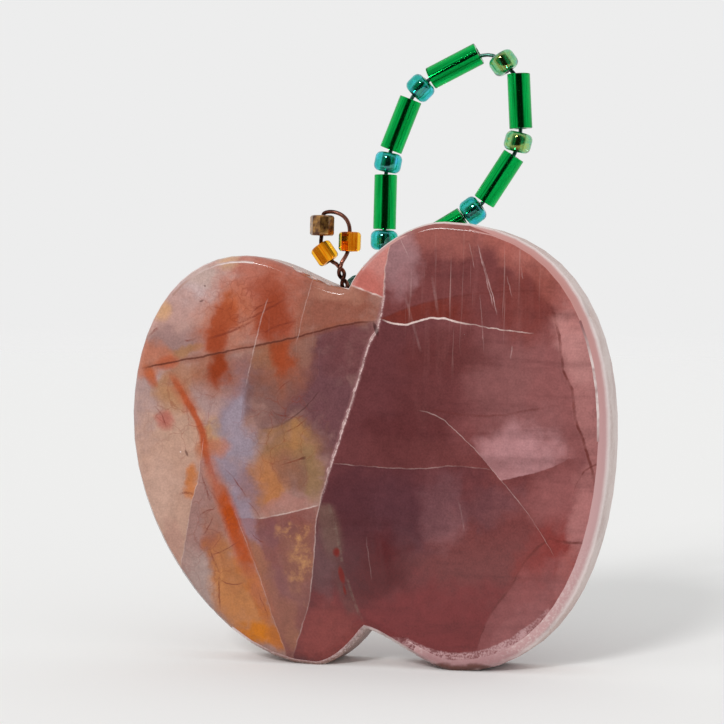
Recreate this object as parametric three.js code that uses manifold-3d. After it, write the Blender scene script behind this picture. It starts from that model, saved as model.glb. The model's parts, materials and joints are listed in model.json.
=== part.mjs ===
// A slab-cut stone apple that stands on two ground feet, with a beaded wire stem and a beaded wire leaf.
// Millimetres, +Z up. In the slab's own frame X runs across the face, Y from front to back, Z up the face.
import * as THREE from 'three';
import { mergeVertices } from 'three/addons/utils/BufferGeometryUtils.js';
import Module from 'manifold-3d';

// Stone slab
const SLAB_THICKNESS = 8;
const SLAB_LEAN = 4; // degrees, set by the grind of the feet
const LEFT_SIDE_X = -27;
const LEFT_SIDE_HEIGHT = 27.3;
const RIGHT_SIDE_X = 27.1;
const RIGHT_SIDE_HEIGHT = 25.6;
const LEFT_SHOULDER_X = -14.4;
const LEFT_SHOULDER_HEIGHT = 45.2;
const RIGHT_SHOULDER_X = 8;
const RIGHT_SHOULDER_HEIGHT = 49.4;
const STEM_NOTCH_X = -2.6;
const STEM_NOTCH_HEIGHT = 41.8;
const LEFT_FOOT_X = -5.3;
const RIGHT_FOOT_X = 10.5;
const FOOT_GRIND = 0.3; // stone ground off each foot at mid-thickness
const FOOT_NOTCH_X = 0.3;
const FOOT_NOTCH_HEIGHT = 4;
const FRONT_BEVEL_DEPTH = 1;
const FRONT_BEVEL_LEAST = 0.6; // at the upper left
const FRONT_BEVEL_MOST = 1.4; // at the lower right
const BEVEL_BREAK_DEPTH = 0.3; // where the bevel steepens, behind the front face
const BEVEL_BREAK_SHARE = 0.35; // of the bevel's width that is left there
const BACK_BEVEL = 0.4;

// Wires and the holes that they are glued into
const WIRE_DIAMETER = 0.5;
const STRAND_GAP = 0.12; // between the two strands of a twist
const TWIST_PITCH = 2.65;
const HOLE_DIAMETER = 2;
const HOLE_DEPTH = 6;
const HOLE_FROM_NOTCH = 0.85; // left of the notch's deepest corner
const STEM_HOLE_Y = -0.9;
const LEAF_HOLE_Y = 1.9;
const GLUE_CLEARANCE = 0.1;

// Beads
const BEAD_BORE = 1;
const BEAD_GAP = 0.12; // least gap between neighbours on a wire
const SEED_DIAMETER = 3.1;
const SEED_LENGTH = 2.25;
const SEED_CORNER = 0.6;
const BUGLE_DIAMETER = 2.6;
const BUGLE_LENGTH = 6.2;
const BUGLE_CORNER = 0.12;
const AMBER_DIAMETER = 2.5;
const AMBER_LENGTH = 2.2;
const BRONZE_DIAMETER = 2.8;
const BRONZE_LENGTH = 2.3;
const STEM_BEAD_CORNER = 0.35;

// Stem: a twisted pair that opens into a small loop of three beads
const TWIST_HEIGHT = 2.86; // from the notch up to the fork
const TWIST_SWAY = 0.8; // to the left on the way up
const AMBER_TILT = 126; // degrees up from +X
const STEM_BEAD_GAP = 0.33;
const AMBER_STEP = 1.35; // how much higher the right amber bead hangs than the left one
const AMBER_DROP = 0.6; // how far the left amber bead hangs below the fork
const ARCH_LEFT_PULL = 0.7; // how far the wire heads straight up out of the bronze bead
const ARCH_RIGHT_PULL = 2.6; // and out of the right amber bead

// Leaf: bare wire shows at its crest, and steps across to the bugle on the way down
const BARE_CREST = 2.1;
const BARE_TUCK = 0.25;
// Headings of each piece along the wire, in degrees up from +X, from the foot round to the foot
const LEAF_RUN = [
  { kind: 'seed', heading: 90 },
  { kind: 'bugle', heading: 90 },
  { kind: 'seed', heading: 80 },
  { kind: 'bugle', heading: 69.5 },
  { kind: 'seed', heading: 46 },
  { kind: 'bugle', heading: 28 },
  { kind: 'bare', heading: -3, length: BARE_CREST },
  { kind: 'seed', heading: -54 },
  { kind: 'bare', heading: -11, length: BUGLE_DIAMETER / 2 - BARE_TUCK },
  { kind: 'bugle', heading: -86 },
  { kind: 'seed', heading: -103 },
  { kind: 'bugle', heading: -122 },
  { kind: 'seed', heading: -143 },
  { kind: 'bugle', heading: -148 },
];
const LEAF_FOOT_RIGHT = 2.16; // from the stem notch to the leaf's first bead
const LEAF_FOOT_RISE = 4.5;
const LEAF_BACK_GAP = 0.35; // between the leaf's beads and the slab's back
const LAST_SEED_HEADING = -135;
const FOOT_BEAD_GAP = 0.3; // round the last bead, which sits beside the first
const FORK_LEFT = 1.03; // from the middle of the first bead to the fork of the leaf's twist
const FORK_RISE = 0.4; // from the last bead's foot up to that fork

// Facets
const ARC_STEPS = 13;
const ROUND_SIDES = 16;
const CORNER_STEPS = 2;
const WIRE_SIDES = 8;
const HOLE_SIDES = 20;
const STEPS_PER_TURN = 10;
const ARCH_STEPS = 10;

const wasm = await Module();
wasm.setup();

const radians = THREE.MathUtils.degToRad;
const wireRadius = WIRE_DIAMETER / 2;
const twistRadius = wireRadius + STRAND_GAP / 2;
const holeX = STEM_NOTCH_X - HOLE_FROM_NOTCH;
const holeFloor = STEM_NOTCH_HEIGHT - HOLE_DEPTH;
const leafY = SLAB_THICKNESS / 2 + LEAF_BACK_GAP + Math.max(SEED_DIAMETER, BUGLE_DIAMETER) / 2;

const stone = new THREE.MeshStandardMaterial({ color: 0x8c5552, roughness: 0.25 });
const stemCopper = new THREE.MeshStandardMaterial({ color: 0x4a2a1c, roughness: 0.4, metalness: 0.9 });
const leafCopper = new THREE.MeshStandardMaterial({ color: 0x3f5a4c, roughness: 0.4, metalness: 0.8 });
const glue = new THREE.MeshStandardMaterial({ color: 0xd8cdb4, roughness: 0.3 });
const greenGlass = new THREE.MeshStandardMaterial({ color: 0x0a7a3c, roughness: 0.1, metalness: 0.3 });
const tealGlass = new THREE.MeshStandardMaterial({ color: 0x2a9c8c, roughness: 0.12, metalness: 0.3 });
const amberGlass = new THREE.MeshStandardMaterial({ color: 0xe08a12, roughness: 0.1, metalness: 0.3 });
const bronzeGlass = new THREE.MeshStandardMaterial({ color: 0x6b5128, roughness: 0.2, metalness: 0.8 });

function solidOf(geometry) {
  const plain = geometry.clone();
  plain.deleteAttribute('normal');
  plain.deleteAttribute('uv');
  const merged = mergeVertices(plain, 1e-4);
  return new wasm.Manifold(
    new wasm.Mesh({
      numProp: 3,
      vertProperties: new Float32Array(merged.attributes.position.array),
      triVerts: new Uint32Array(merged.index.array),
    }),
  );
}

function geometryOf(solid) {
  const mesh = solid.getMesh();
  const geometry = new THREE.BufferGeometry();
  geometry.setAttribute('position', new THREE.BufferAttribute(mesh.vertProperties, 3));
  geometry.setIndex(new THREE.BufferAttribute(mesh.triVerts, 1));
  geometry.computeVertexNormals();
  return geometry;
}

// The apple's outline has eight arcs between its turning points. An arc leaves and arrives with handles given
// as shares of its own width and height, so a share of zero keeps that end upright or level.
function appleOutline() {
  const point = (x, z) => new THREE.Vector2(x, z);
  const notch = point(STEM_NOTCH_X, STEM_NOTCH_HEIGHT);
  const leftShoulder = point(LEFT_SHOULDER_X, LEFT_SHOULDER_HEIGHT);
  const leftSide = point(LEFT_SIDE_X, LEFT_SIDE_HEIGHT);
  const leftFoot = point(LEFT_FOOT_X, -FOOT_GRIND);
  const footNotch = point(FOOT_NOTCH_X, FOOT_NOTCH_HEIGHT);
  const rightFoot = point(RIGHT_FOOT_X, -FOOT_GRIND);
  const rightSide = point(RIGHT_SIDE_X, RIGHT_SIDE_HEIGHT);
  const rightShoulder = point(RIGHT_SHOULDER_X, RIGHT_SHOULDER_HEIGHT);
  const outline = new THREE.Shape();
  const arc = (from, to, leave, arrive) => {
    const span = to.clone().sub(from);
    const first = from.clone().add(point(leave[0] * span.x, leave[1] * span.y));
    const second = to.clone().sub(point(arrive[0] * span.x, arrive[1] * span.y));
    outline.bezierCurveTo(first.x, first.y, second.x, second.y, to.x, to.y);
  };
  outline.moveTo(notch.x, notch.y);
  arc(notch, leftShoulder, [0.29, 0], [0.41, 0]);
  arc(leftShoulder, leftSide, [0.61, 0], [0, 0.59]);
  arc(leftSide, leftFoot, [0, 0.47], [0.5, 0]);
  arc(leftFoot, footNotch, [0.41, 0], [0.19, 0.37]);
  arc(footNotch, rightFoot, [0.23, 0.08], [0.28, 0]);
  arc(rightFoot, rightSide, [0.7, 0], [0, 0.51]);
  arc(rightSide, rightShoulder, [0, 0.56], [0.71, 0]);
  arc(rightShoulder, notch, [0.43, 0], [0.1, 0.39]);
  return outline;
}

// The slab is lofted through five rings from its front face to its back. The front edge is rounded over,
// narrowly at the upper left and broadly at the lower right.
function slabGeometry() {
  const outline = appleOutline().getPoints(ARC_STEPS);
  if (outline[0].distanceTo(outline.at(-1)) < 1e-6) {
    outline.pop();
  }
  if (THREE.ShapeUtils.isClockWise(outline)) {
    outline.reverse();
  }
  const count = outline.length;
  const outward = outline.map((_, i) => {
    const along = outline[(i + 1) % count].clone().sub(outline.at(i - 1));
    return new THREE.Vector2(along.y, -along.x).normalize();
  });
  const lowerRight = new THREE.Vector2(1, -1).normalize();
  const bevelAt = (i) => {
    const share = (1 + outward[i].dot(lowerRight)) / 2;
    return THREE.MathUtils.lerp(FRONT_BEVEL_LEAST, FRONT_BEVEL_MOST, share);
  };
  const front = -SLAB_THICKNESS / 2;
  const back = SLAB_THICKNESS / 2;
  const rings = [
    { y: front, inset: bevelAt },
    { y: front + BEVEL_BREAK_DEPTH, inset: (i) => BEVEL_BREAK_SHARE * bevelAt(i) },
    { y: front + FRONT_BEVEL_DEPTH, inset: () => 0 },
    { y: back - BACK_BEVEL, inset: () => 0 },
    { y: back, inset: () => BACK_BEVEL },
  ];
  const contours = rings.map((ring) =>
    outline.map((p, i) => p.clone().addScaledVector(outward[i], -ring.inset(i))),
  );
  const positions = contours.flatMap((contour, k) => contour.flatMap((p) => [p.x, rings[k].y, p.y]));
  const triangles = [];
  for (let k = 0; k < rings.length - 1; k += 1) {
    for (let i = 0; i < count; i += 1) {
      const next = (i + 1) % count;
      const [a, b] = [k * count + i, k * count + next];
      const [c, d] = [b + count, a + count];
      triangles.push(a, c, b, a, d, c);
    }
  }
  for (const [p, q, r] of THREE.ShapeUtils.triangulateShape(contours[0], [])) {
    triangles.push(p, q, r);
  }
  const last = (rings.length - 1) * count;
  for (const [p, q, r] of THREE.ShapeUtils.triangulateShape(contours.at(-1), [])) {
    triangles.push(last + p, last + r, last + q);
  }
  const geometry = new THREE.BufferGeometry();
  geometry.setAttribute('position', new THREE.Float32BufferAttribute(positions, 3));
  geometry.setIndex(triangles);
  return geometry;
}

// A drill's path down through the stem notch, open at the top.
function drillGeometry(y) {
  const drill = new THREE.CylinderGeometry(HOLE_DIAMETER / 2, HOLE_DIAMETER / 2, 2 * HOLE_DEPTH, HOLE_SIDES);
  drill.rotateX(Math.PI / 2);
  drill.translate(holeX, y, holeFloor + HOLE_DEPTH);
  return drill;
}

// Everything under the surface that the feet are ground to.
function underfloorGeometry() {
  const reach = 2 * (RIGHT_SIDE_X - LEFT_SIDE_X);
  const floor = new THREE.BoxGeometry(reach, reach, reach);
  floor.translate(0, 0, -reach / 2);
  floor.rotateX(radians(SLAB_LEAN));
  return floor;
}

function stoneSlab() {
  const cuts = [drillGeometry(STEM_HOLE_Y), drillGeometry(LEAF_HOLE_Y), underfloorGeometry()];
  const solid = cuts.reduce((whole, cut) => whole.subtract(solidOf(cut)), solidOf(slabGeometry()));
  const mesh = new THREE.Mesh(geometryOf(solid), stone);
  mesh.name = 'stone_slab';
  return mesh;
}

// A sleeve of set glue between a twist and the wall of its hole.
function gluePlug(name, y) {
  const inner = twistRadius + wireRadius + GLUE_CLEARANCE;
  const outer = HOLE_DIAMETER / 2 - GLUE_CLEARANCE;
  const bottom = holeFloor + GLUE_CLEARANCE;
  const top = STEM_NOTCH_HEIGHT - GLUE_CLEARANCE;
  const profile = [
    new THREE.Vector2(inner, bottom),
    new THREE.Vector2(outer, bottom),
    new THREE.Vector2(outer, top - (outer - inner) / 2),
    new THREE.Vector2(inner, top),
    new THREE.Vector2(inner, bottom),
  ];
  const geometry = new THREE.LatheGeometry(profile, ROUND_SIDES);
  geometry.rotateX(Math.PI / 2);
  const mesh = new THREE.Mesh(geometry, glue);
  mesh.name = name;
  mesh.position.set(holeX, y, 0);
  return mesh;
}

// The wire's rings fall on its own points, close together in a twist and far apart inside a bead.
class WirePath extends THREE.CatmullRomCurve3 {
  getPointAt(u, target) {
    return this.getPoint(u, target);
  }

  getTangentAt(u, target) {
    return this.getTangent(u, target);
  }
}

function wireMesh(name, points, material) {
  const section = new THREE.Shape();
  for (let i = 0; i < WIRE_SIDES; i += 1) {
    const turn = (2 * Math.PI * i) / WIRE_SIDES;
    const corner = [wireRadius * Math.cos(turn), wireRadius * Math.sin(turn)];
    if (i === 0) {
      section.moveTo(...corner);
    } else {
      section.lineTo(...corner);
    }
  }
  const geometry = new THREE.ExtrudeGeometry(section, {
    steps: points.length - 1,
    extrudePath: new WirePath(points),
    bevelEnabled: false,
  });
  const mesh = new THREE.Mesh(geometry, material);
  mesh.name = name;
  return mesh;
}

// Two strands wound round an axis from the bottom of a hole up to a fork, where the first strand leaves on
// the given side.
function twistedPair(axisPoints, firstSide) {
  const axis = new THREE.CatmullRomCurve3(axisPoints);
  const turns = axis.getLength() / TWIST_PITCH;
  const steps = Math.ceil(turns * STEPS_PER_TURN);
  const frames = axis.computeFrenetFrames(steps, false);
  const lastTurn = Math.atan2(firstSide.dot(frames.binormals[steps]), firstSide.dot(frames.normals[steps]));
  const strand = (phase) => {
    const points = [];
    for (let i = 0; i <= steps; i += 1) {
      const turn = lastTurn + phase - 2 * Math.PI * turns * (1 - i / steps);
      const point = axis.getPointAt(i / steps);
      point.addScaledVector(frames.normals[i], twistRadius * Math.cos(turn));
      point.addScaledVector(frames.binormals[i], twistRadius * Math.sin(turn));
      points.push(point);
    }
    return points;
  };
  return [strand(0), strand(Math.PI)];
}

const BEADS = {
  seed: {
    diameter: SEED_DIAMETER,
    length: SEED_LENGTH,
    corner: SEED_CORNER,
    material: tealGlass,
  },
  bugle: {
    diameter: BUGLE_DIAMETER,
    length: BUGLE_LENGTH,
    corner: BUGLE_CORNER,
    material: greenGlass,
  },
  amber: {
    diameter: AMBER_DIAMETER,
    length: AMBER_LENGTH,
    corner: STEM_BEAD_CORNER,
    material: amberGlass,
  },
  bronze: {
    diameter: BRONZE_DIAMETER,
    length: BRONZE_LENGTH,
    corner: STEM_BEAD_CORNER,
    material: bronzeGlass,
  },
};

const direction = (heading) => new THREE.Vector3(Math.cos(radians(heading)), 0, Math.sin(radians(heading)));

// A bored bead, round in section with rounded ends, lying along its heading.
function beadMesh(name, kind, centre, heading) {
  const { diameter, length, corner, material } = BEADS[kind];
  const inner = BEAD_BORE / 2;
  const shoulder = diameter / 2 - corner;
  const cheek = length / 2 - corner;
  const profile = new THREE.Path();
  profile.moveTo(inner, -length / 2);
  profile.lineTo(shoulder, -length / 2);
  profile.absarc(shoulder, -cheek, corner, -Math.PI / 2, 0);
  profile.lineTo(diameter / 2, cheek);
  profile.absarc(shoulder, cheek, corner, 0, Math.PI / 2);
  profile.lineTo(inner, length / 2);
  profile.lineTo(inner, -length / 2);
  const geometry = new THREE.LatheGeometry(profile.getPoints(CORNER_STEPS), ROUND_SIDES);
  const mesh = new THREE.Mesh(geometry, material);
  mesh.name = name;
  mesh.position.copy(centre);
  mesh.quaternion.setFromUnitVectors(new THREE.Vector3(0, 1, 0), direction(heading));
  return mesh;
}

// The two points where the wire enters and leaves a bead.
function throughBead(kind, centre, heading) {
  const half = direction(heading).multiplyScalar(BEADS[kind].length / 2);
  return [centre.clone().sub(half), centre.clone().add(half)];
}

function stem() {
  const group = new THREE.Group();
  const spot = (x, z) => new THREE.Vector3(x, STEM_HOLE_Y, z);
  const fork = spot(holeX - TWIST_SWAY, STEM_NOTCH_HEIGHT + TWIST_HEIGHT);
  const tilt = radians(AMBER_TILT);
  const amberReach = (AMBER_LENGTH * Math.abs(Math.cos(tilt)) + AMBER_DIAMETER * Math.sin(tilt)) / 2;
  const amberRise = (AMBER_LENGTH * Math.sin(tilt) + AMBER_DIAMETER * Math.abs(Math.cos(tilt))) / 2;
  const left = spot(fork.x - amberReach, fork.z - AMBER_DROP + amberRise);
  const right = spot(left.x + AMBER_DIAMETER + STEM_BEAD_GAP, left.z + AMBER_STEP);
  const bronze = spot(left.x - STEM_BEAD_GAP, left.z + amberRise + STEM_BEAD_GAP + BRONZE_LENGTH / 2);
  const axis = [
    spot(holeX, holeFloor + GLUE_CLEARANCE),
    spot(holeX, STEM_NOTCH_HEIGHT - HOLE_DEPTH / 2),
    spot(holeX, STEM_NOTCH_HEIGHT),
    spot(holeX - TWIST_SWAY / 2, STEM_NOTCH_HEIGHT + TWIST_HEIGHT / 2),
    fork,
  ];
  const [leftStrand, rightStrand] = twistedPair(axis, new THREE.Vector3(-1, 0, 0));
  const bronzeTop = bronze.z + BRONZE_LENGTH / 2;
  const amberTop = right.z + AMBER_LENGTH / 2;
  const arch = new THREE.CubicBezierCurve3(
    spot(bronze.x, bronzeTop),
    spot(bronze.x, bronzeTop + ARCH_LEFT_PULL),
    spot(right.x, amberTop + ARCH_RIGHT_PULL),
    spot(right.x, amberTop),
  );
  const path = [
    ...leftStrand,
    ...throughBead('amber', left, AMBER_TILT),
    ...throughBead('bronze', bronze, 90),
    ...arch.getPoints(ARCH_STEPS).slice(1, -1),
    ...throughBead('amber', right, -90),
    ...rightStrand.reverse(),
  ];
  group.add(
    wireMesh('stem_wire', path, stemCopper),
    beadMesh('stem_amber_bead_left', 'amber', left, AMBER_TILT),
    beadMesh('stem_bronze_bead', 'bronze', bronze, 90),
    beadMesh('stem_amber_bead_right', 'amber', right, -90),
    gluePlug('stem_glue', STEM_HOLE_Y),
  );
  return group;
}

function leaf() {
  const group = new THREE.Group();
  const spot = (x, z) => new THREE.Vector3(x, leafY, z);
  const foot = spot(STEM_NOTCH_X + LEAF_FOOT_RIGHT, STEM_NOTCH_HEIGHT + LEAF_FOOT_RISE);
  const threaded = [];
  const count = { seed: 0, bugle: 0 };
  const thread = (kind, centre, heading) => {
    count[kind] += 1;
    group.add(beadMesh(`leaf_${kind}_bead_${count[kind]}`, kind, centre, heading));
    threaded.push(...throughBead(kind, centre, heading));
  };
  // Each bead keeps clear of the bend before it and the bend after it.
  const clearOf = (piece, neighbour) => {
    const flatEnd = BEADS[piece.kind].diameter / 2 - BEADS[piece.kind].corner;
    const beside = neighbour && neighbour.kind !== 'bare';
    const bend = beside ? Math.abs(radians(neighbour.heading - piece.heading)) : 0;
    return BEAD_GAP / 2 + flatEnd * Math.tan(bend / 2);
  };
  const at = foot.clone();
  LEAF_RUN.forEach((piece, k) => {
    const along = direction(piece.heading);
    if (piece.kind === 'bare') {
      at.addScaledVector(along, piece.length);
      return;
    }
    const half = BEADS[piece.kind].length / 2;
    at.addScaledVector(along, clearOf(piece, LEAF_RUN[k - 1]) + half);
    thread(piece.kind, at.clone(), piece.heading);
    at.addScaledVector(along, half + clearOf(piece, LEAF_RUN[k + 1]));
  });
  // The last seed bead sits beside the first, under the corner of the last bugle.
  const lastBugle = threaded.at(-1);
  const bugleCorner = lastBugle.z - (BUGLE_DIAMETER / 2) * Math.abs(direction(LEAF_RUN.at(-1).heading).x);
  const lastAlong = direction(LAST_SEED_HEADING);
  const lastHalfHeight = (SEED_LENGTH * Math.abs(lastAlong.z) + SEED_DIAMETER * Math.abs(lastAlong.x)) / 2;
  const lastSeedX = foot.x + SEED_DIAMETER + FOOT_BEAD_GAP;
  const lastSeed = spot(lastSeedX, bugleCorner - FOOT_BEAD_GAP - lastHalfHeight);
  thread('seed', lastSeed, LAST_SEED_HEADING);
  const fork = spot(foot.x - FORK_LEFT, lastSeed.z - SEED_LENGTH / 2 + FORK_RISE);
  const axis = [
    new THREE.Vector3(holeX, LEAF_HOLE_Y, holeFloor + GLUE_CLEARANCE),
    new THREE.Vector3(holeX, LEAF_HOLE_Y, STEM_NOTCH_HEIGHT - HOLE_DEPTH / 2),
    new THREE.Vector3(holeX, LEAF_HOLE_Y, STEM_NOTCH_HEIGHT),
    new THREE.Vector3(holeX, (LEAF_HOLE_Y + leafY) / 2, (STEM_NOTCH_HEIGHT + fork.z) / 2 + WIRE_DIAMETER),
    fork,
  ];
  const [firstStrand, lastStrand] = twistedPair(axis, new THREE.Vector3(-1, 0, 1).normalize());
  const path = [...firstStrand, ...threaded, ...lastStrand.reverse()];
  group.add(wireMesh('leaf_wire', path, leafCopper), gluePlug('leaf_glue', LEAF_HOLE_Y));
  return group;
}

// The slab tips back on its ground feet, and the apple's origin is under the middle of its bounding box.
const tipped = new THREE.Group();
tipped.rotation.x = -radians(SLAB_LEAN);
tipped.add(stoneSlab(), stem(), leaf());
const apple = new THREE.Group();
apple.add(tipped);
apple.updateMatrixWorld(true);
const box = new THREE.Box3().setFromObject(apple, true);
tipped.position.set(-(box.min.x + box.max.x) / 2, -(box.min.y + box.max.y) / 2, -box.min.z);

export default apple;
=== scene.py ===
"""Looks of the stone apple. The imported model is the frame, and a finished piece stands for every node."""

import json
import math
import random

import bpy
from mathutils import Matrix, Vector


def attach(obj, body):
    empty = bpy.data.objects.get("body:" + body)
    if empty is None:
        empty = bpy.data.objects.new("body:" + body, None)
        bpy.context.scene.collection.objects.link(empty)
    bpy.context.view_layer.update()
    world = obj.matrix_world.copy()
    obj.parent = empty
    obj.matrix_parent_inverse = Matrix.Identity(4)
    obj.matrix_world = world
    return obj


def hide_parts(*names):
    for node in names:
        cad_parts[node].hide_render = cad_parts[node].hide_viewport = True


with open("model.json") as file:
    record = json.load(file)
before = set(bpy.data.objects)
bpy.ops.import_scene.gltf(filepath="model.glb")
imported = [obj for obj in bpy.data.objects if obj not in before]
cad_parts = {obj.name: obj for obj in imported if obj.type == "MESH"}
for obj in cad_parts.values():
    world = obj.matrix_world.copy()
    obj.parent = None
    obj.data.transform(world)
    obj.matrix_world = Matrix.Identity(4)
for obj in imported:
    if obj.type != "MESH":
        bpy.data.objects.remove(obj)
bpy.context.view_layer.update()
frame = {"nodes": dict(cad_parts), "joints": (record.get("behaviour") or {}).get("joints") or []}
MM = 0.001

# Camera
# The photograph was taken through a long lens, from a little to the right of the apple's face and just above
# its middle, with the horizon a touch off level.
VIEWPOINT = Vector((71.4, -377.1, 62.0)) * MM
TARGET = Vector((-1.1, -4.12, 33.7)) * MM
LENS_ROLL = math.radians(0.7)
LENS_LENGTH = 170  # mm, on a sensor of SENSOR_WIDTH
SENSOR_WIDTH = 36
bpy.ops.object.camera_add(location=VIEWPOINT)
camera = bpy.context.object
camera.name = "camera"
camera.data.sensor_width = SENSOR_WIDTH
camera.data.lens = LENS_LENGTH
aim = (TARGET - VIEWPOINT).to_track_quat("-Z", "Y").to_matrix()
camera.rotation_euler = (aim @ Matrix.Rotation(LENS_ROLL, 3, "Z")).to_euler()
bpy.context.scene.camera = camera

# Stone slab: shape
# A slice of agate sawn about 8 mm thick, its outline ground on a wheel and its faces polished. The front edge
# is rounded over by hand, the feet are ground flat, and use has knocked small chips out of the sharp edges.
SLAB_ORIGIN = Vector((-0.05, -4.119, 0.0)) * MM
SLAB_LEAN = math.radians(4)
SLAB_FRONT = -4.0  # mm, in the slab's own frame
CREASE_WIDTH = 0.14 * MM
SAME_PLANE = math.radians(0.3)
FLAT_FRONT = 0.999  # how squarely the polished face looks forward
slab_frame = Matrix.Translation(SLAB_ORIGIN) @ Matrix.Rotation(-SLAB_LEAN, 4, "X") @ Matrix.Scale(MM, 4)
slab_forward = (slab_frame.to_3x3() @ Vector((0, -1, 0))).normalized()


def copy_of_node(name, piece_name):
    """A merged copy of a node's mesh, as a new object that is alone selected and in edit mode."""
    piece = bpy.data.objects.new(piece_name, frame["nodes"][name].data.copy())
    bpy.context.collection.objects.link(piece)
    piece.data.materials.clear()
    bpy.ops.object.select_all(action="DESELECT")
    piece.select_set(True)
    bpy.context.view_layer.objects.active = piece
    bpy.ops.object.mode_set(mode="EDIT")
    bpy.ops.mesh.select_all(action="SELECT")
    bpy.ops.mesh.remove_doubles(threshold=0.001 * MM)
    return piece


def select_faces(piece, wanted):
    """Selects the faces that pass a test, and nothing else, and leaves the piece in edit mode."""
    bpy.ops.object.mode_set(mode="EDIT")
    bpy.ops.mesh.select_mode(type="FACE")
    bpy.ops.mesh.select_all(action="DESELECT")
    bpy.ops.object.mode_set(mode="OBJECT")
    for face in piece.data.polygons:
        face.select = wanted(face)
    bpy.ops.object.mode_set(mode="EDIT")


slab = copy_of_node("stone_slab", "polished_slab")
bpy.ops.mesh.dissolve_limited(angle_limit=SAME_PLANE)
select_faces(slab, lambda face: face.normal.dot(slab_forward) > FLAT_FRONT)
bpy.ops.mesh.region_to_loop()
bpy.ops.mesh.bevel(offset=CREASE_WIDTH, segments=2, affect="EDGES")
bpy.ops.object.mode_set(mode="OBJECT")

# Chips, as places on the face and lengths in millimetres: the lower left edge, the stem notch, the foot notch
# and the right foot. Each is a shallow scoop out of the nearest point of the outer edge.
FRONT_EDGE = -3.0
BACK_EDGE = 3.6
EDGE_REACH = 0.05
CHIP_ROUGHNESS = 0.07 * MM
FRONT_CHIPS = [
    (-25.0, 18.4, 0.7), (-23.5, 14.4, 1.1), (-22.4, 12.8, 0.6), (-21.5, 10.7, 0.7), (-20.7, 9.6, 1.2),
    (-19.9, 8.4, 0.6), (-17.1, 5.6, 1.3), (-14.6, 3.6, 0.6), (-8.1, 43.9, 1.2), (-6.4, 43.0, 1.0),
    (-4.6, 42.3, 0.7), (-1.2, 44.8, 0.9), (-1.8, 1.9, 0.6), (-0.8, 3.2, 0.7), (0.4, 4.1, 0.9),
    (2.1, 3.7, 0.6), (3.3, 2.9, 0.8), (4.3, 2.3, 0.6), (5.6, 1.7, 1.2), (7.2, 0.9, 0.7), (20.0, 5.4, 0.9),
    (25.2, 38.6, 0.6),
]
BACK_CHIPS = [(-24.5, 36.5, 1.0), (-20.5, 10.2, 1.3), (9.5, 49.2, 0.9), (25.5, 15.0, 1.1), (4.4, 2.6, 1.4)]
random.seed(12)
chip_pieces = []
for depth, chips in ((FRONT_EDGE, FRONT_CHIPS), (BACK_EDGE, BACK_CHIPS)):
    ring = []
    for vertex in slab.data.vertices:
        at = slab_frame.inverted() @ vertex.co
        if abs(at.y - depth) < EDGE_REACH:
            ring.append((at, vertex))
    for x, z, length in chips:
        at, vertex = min(ring, key=lambda pair: (pair[0].x - x) ** 2 + (pair[0].z - z) ** 2)
        outward = vertex.normal
        edge = outward.cross(slab_forward).normalized()
        bpy.ops.mesh.primitive_ico_sphere_add(subdivisions=2, radius=0.5 * MM)
        chip = bpy.context.object
        turned = Matrix((edge, outward.cross(edge), outward)).transposed().to_4x4()
        swing = Matrix.Rotation(random.uniform(-0.3, 0.3), 4, "Z")
        sizes = (length, random.uniform(0.5, 0.8) * length, random.uniform(0.4, 0.6) * length)
        middle = vertex.co + outward * 0.1 * length * MM
        chip.matrix_world = Matrix.Translation(middle) @ turned @ swing @ Matrix.Diagonal((*sizes, 1))
        chip_pieces.append(chip)
bpy.ops.object.select_all(action="DESELECT")
for chip in chip_pieces:
    chip.select_set(True)
bpy.context.view_layer.objects.active = chip_pieces[0]
bpy.ops.object.join()
chips = bpy.context.object
bpy.ops.object.transform_apply(location=True, rotation=True, scale=True)
bpy.ops.object.mode_set(mode="EDIT")
bpy.ops.mesh.select_all(action="SELECT")
bpy.ops.transform.vertex_random(offset=CHIP_ROUGHNESS, seed=3)
bpy.ops.object.mode_set(mode="OBJECT")

# Stone slab: polished agate
# Chalcedony cut across its bands and polished to a wet gloss: pale and rusty on the left, dusty rose and wine
# on the right, with healed fractures that catch the light as chalky white lines.
AGATE_IOR = 1.54


def linear(colour):
    """The linear RGBA of an sRGB hex colour."""
    shares = [int(colour[i : i + 2], 16) / 255 for i in (1, 3, 5)]
    return (*(c / 12.92 if c <= 0.04045 else ((c + 0.055) / 1.055) ** 2.4 for c in shares), 1.0)


def add_node(tree, kind, inputs=None, **settings):
    """Adds a shader node with its settings, and links or sets its inputs by name or number."""
    node = tree.nodes.new("ShaderNode" + kind)
    for setting, value in settings.items():
        setattr(node, setting, value)
    for key, value in (inputs or {}).items():
        if isinstance(value, bpy.types.NodeSocket):
            tree.links.new(value, node.inputs[key])
        else:
            node.inputs[key].default_value = value
    return node


def new_material(name):
    """An empty material, and its node tree."""
    material = bpy.data.materials.new(name)
    material.use_nodes = True
    material.node_tree.nodes.clear()
    return material, material.node_tree


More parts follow.
